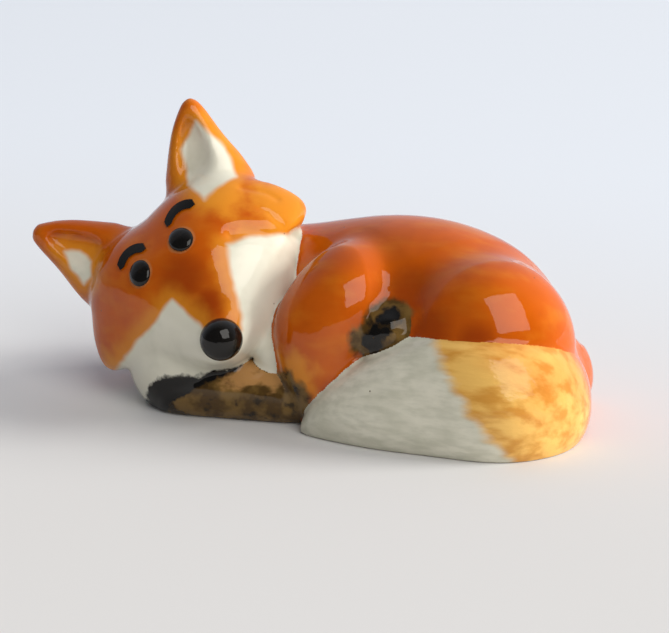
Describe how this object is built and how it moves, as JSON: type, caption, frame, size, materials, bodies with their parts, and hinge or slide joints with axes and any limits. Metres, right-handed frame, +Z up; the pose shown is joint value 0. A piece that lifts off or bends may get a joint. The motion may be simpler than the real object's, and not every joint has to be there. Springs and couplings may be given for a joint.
{
  "type": "fox figurine",
  "caption": "Small glazed ceramic fox lying curled on its belly, head tilted on its forepaws, brush wrapped along its flank, flat underside.",
  "frame": {"origin": "middle of the flat underside, below the torso", "axes": "+X from head to rump along the longest extent, -Y towards the fox's left flank where the tail lies, +Z up"},
  "size_m": [0.0522, 0.0238, 0.0262],
  "materials": {
    "glazed_porcelain": "orange underglaze brushed on white porcelain, thick clear gloss glaze",
    "white_glaze": "bare white porcelain under clear gloss glaze",
    "brush_glaze": "white tip running into mottled yellow and orange, clear gloss glaze",
    "dark_sock_glaze": "brown and black mottled underglaze, clear gloss glaze",
    "black_enamel": "raised drops of black gloss enamel"
  },
  "bodies": {
    "root": {"torso": "glazed_porcelain", "left_haunch": "glazed_porcelain", "right_haunch": "glazed_porcelain", "left_foreleg": "glazed_porcelain", "right_foreleg": "glazed_porcelain", "left_forepaw": "dark_sock_glaze", "right_forepaw": "dark_sock_glaze", "chest_ruff": "white_glaze", "left_hind_paw": "dark_sock_glaze", "tail": "brush_glaze", "head": "glazed_porcelain", "left_ear": "glazed_porcelain", "right_ear": "glazed_porcelain", "nose": "black_enamel", "left_eye": "black_enamel", "right_eye": "black_enamel", "left_brow": "black_enamel", "right_brow": "black_enamel"}
  },
  "joints": []
}
